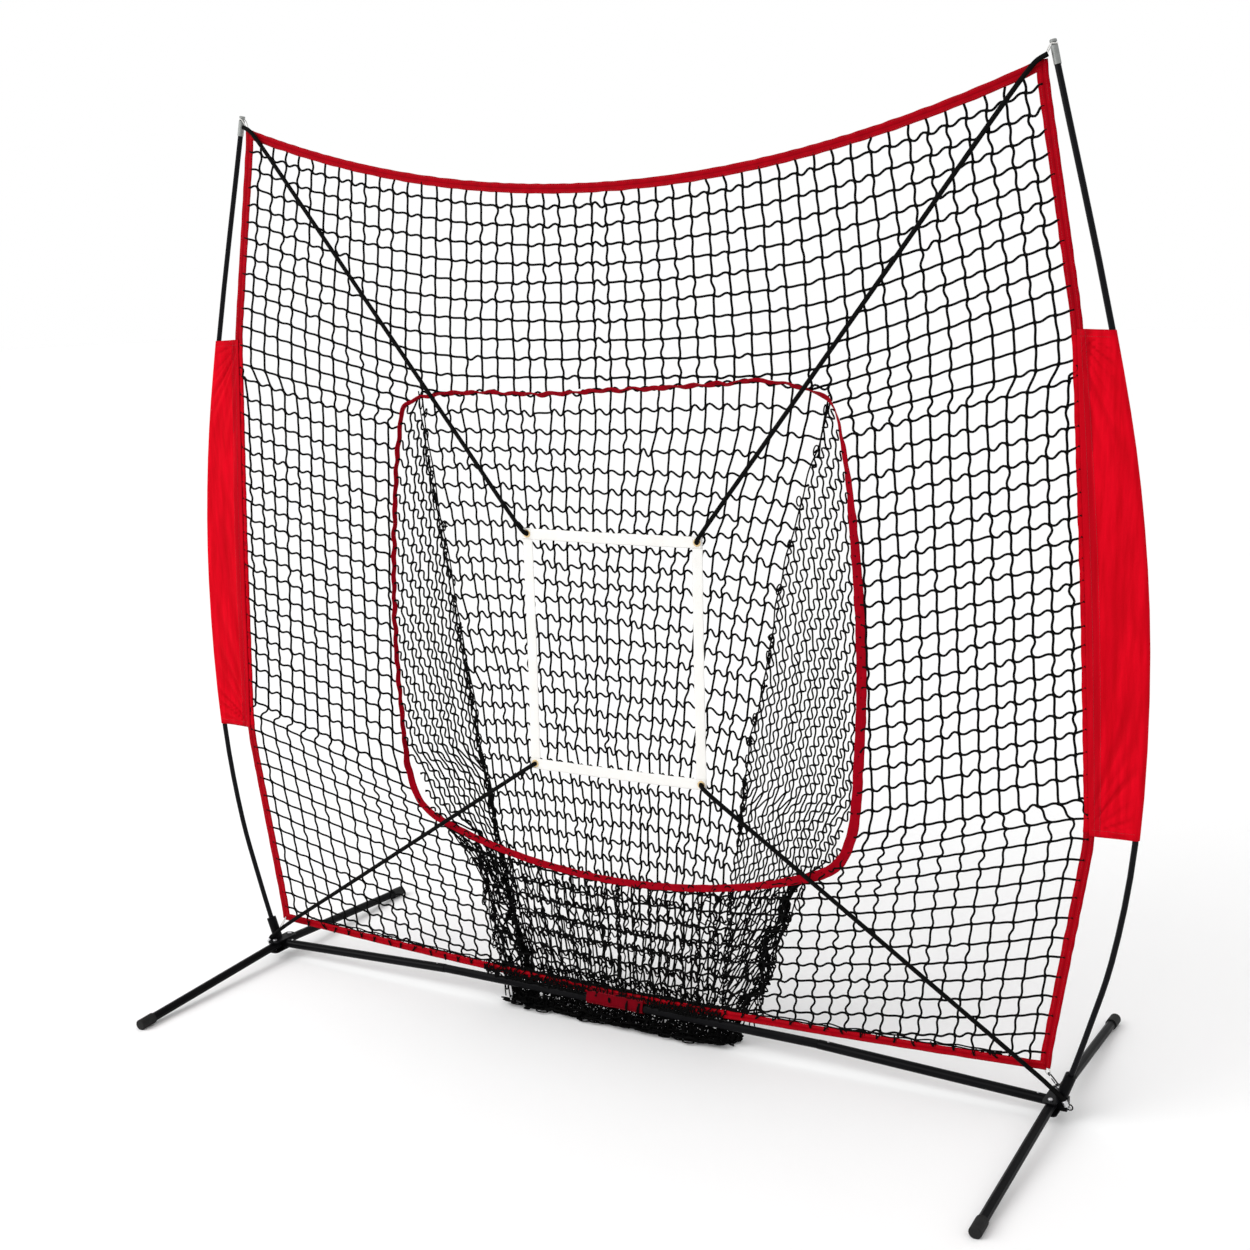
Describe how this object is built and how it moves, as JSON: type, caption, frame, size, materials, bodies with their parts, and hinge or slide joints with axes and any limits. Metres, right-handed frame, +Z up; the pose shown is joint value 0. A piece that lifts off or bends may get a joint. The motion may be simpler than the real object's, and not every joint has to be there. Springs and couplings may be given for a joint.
{
  "type": "pitching target net",
  "caption": "Free-standing practice net on a folding steel base: bowed poles stretch a square-mesh face with a catching pocket and a strike-zone target on elastic cords.",
  "frame": {"origin": "on the ground, midway between the four rubber feet, under the middle of the crossbar", "axes": "+X to the net's right as the thrower sees it, +Y away from the thrower, through the net, +Z up"},
  "size_m": [2.4784, 1.0812, 2.2188],
  "materials": {
    "frame": "satin black powder coat on steel tube",
    "pole": "semi-gloss black fibreglass rod",
    "bolt": "zinc-plated steel",
    "tip": "dull grey metal",
    "cap": "matt moulded rubber",
    "fabric": "bright red woven polyester",
    "binding": "dark red woven tape",
    "netting": "black knotless polyester twine",
    "strip": "white coated webbing",
    "grommet": "rolled brass eyelet",
    "cord": "braided black elastic cord",
    "tie": "braided white elastic cord",
    "hook": "black coated snap hook"
  },
  "bodies": {
    "frame": {"binding_bottom": "binding", "binding_left": "binding", "binding_right": "binding", "binding_top": "binding", "cord_lower_left": "cord", "cord_lower_right": "cord", "cord_upper_left": "cord", "cord_upper_right": "cord", "crossbar_center": "frame", "crossbar_left": "frame", "crossbar_right": "frame", "crossbar_wrap": "fabric", "grommet_bottom_left": "grommet", "grommet_bottom_right": "grommet", "grommet_top_left": "grommet", "grommet_top_right": "grommet", "hub_left": "frame", "hub_right": "frame", "net_face": "netting", "pivot_bolt_front_leg_left": "bolt", "pivot_bolt_front_leg_right": "bolt", "pivot_bolt_rear_leg_left": "bolt", "pivot_bolt_rear_leg_right": "bolt", "pocket_back": "netting", "pocket_bottom": "netting", "pocket_front": "netting", "pocket_rim": "binding", "pocket_side_left": "netting", "pocket_side_right": "netting", "pole_lower_left": "pole", "pole_lower_right": "pole", "pole_tip_left": "tip", "pole_tip_right": "tip", "pole_upper_left": "pole", "pole_upper_right": "pole", "sleeve_left": "fabric", "sleeve_right": "fabric", "snap_hook": "hook", "target_bottom": "strip", "target_left": "strip", "target_right": "strip", "target_top": "strip", "tie_bottom_left": "tie", "tie_bottom_right": "tie", "tie_top_left": "tie", "tie_top_right": "tie"},
    "front_leg_left": {"front_leg_left": "frame", "cap_front_leg_left": "cap"},
    "rear_leg_left": {"rear_leg_left": "frame", "cap_rear_leg_left": "cap"},
    "snap_button_hub_left": {"snap_button_hub_left": "bolt"},
    "snap_button_mid_left": {"snap_button_mid_left": "bolt"},
    "front_leg_right": {"front_leg_right": "frame", "cap_front_leg_right": "cap"},
    "rear_leg_right": {"rear_leg_right": "frame", "cap_rear_leg_right": "cap"},
    "snap_button_hub_right": {"snap_button_hub_right": "bolt"},
    "snap_button_mid_right": {"snap_button_mid_right": "bolt"},
    "snap_hook_gate": {"snap_hook_gate": "hook"}
  },
  "joints": [
    {"name": "front_leg_left_fold", "type": "hinge", "parent": "frame", "child": "front_leg_left", "pos_m": [-1.065, -0.03, 0.0385], "axis": [0, 0, 1], "range_deg": [0, 90]},
    {"name": "rear_leg_left_fold", "type": "hinge", "parent": "frame", "child": "rear_leg_left", "pos_m": [-1.065, 0.03, 0.0385], "axis": [0, 0, -1], "range_deg": [0, 90]},
    {"name": "snap_button_hub_left_press", "type": "slide", "parent": "frame", "child": "snap_button_hub_left", "axis": [0, 0, -1], "range_m": [0, 0.004], "stiffness_N_per_m": 500, "springref_m": -0.002},
    {"name": "snap_button_mid_left_press", "type": "slide", "parent": "frame", "child": "snap_button_mid_left", "axis": [0, 0, -1], "range_m": [0, 0.004], "stiffness_N_per_m": 500, "springref_m": -0.002},
    {"name": "front_leg_right_fold", "type": "hinge", "parent": "frame", "child": "front_leg_right", "pos_m": [1.065, -0.03, 0.0385], "axis": [0, 0, -1], "range_deg": [0, 90]},
    {"name": "rear_leg_right_fold", "type": "hinge", "parent": "frame", "child": "rear_leg_right", "pos_m": [1.065, 0.03, 0.0385], "axis": [0, 0, 1], "range_deg": [0, 90]},
    {"name": "snap_button_hub_right_press", "type": "slide", "parent": "frame", "child": "snap_button_hub_right", "axis": [0, 0, -1], "range_m": [0, 0.004], "stiffness_N_per_m": 500, "springref_m": -0.002},
    {"name": "snap_button_mid_right_press", "type": "slide", "parent": "frame", "child": "snap_button_mid_right", "axis": [0, 0, -1], "range_m": [0, 0.004], "stiffness_N_per_m": 500, "springref_m": -0.002},
    {"name": "snap_hook_gate_open", "type": "hinge", "parent": "frame", "child": "snap_hook_gate", "pos_m": [1.05967, -0.0045, 0.09097], "axis": [-0.7659, 0, -0.6429], "range_deg": [0, 25], "stiffness_Nm_per_rad": 0.05, "springref_deg": -11.46}
  ]
}
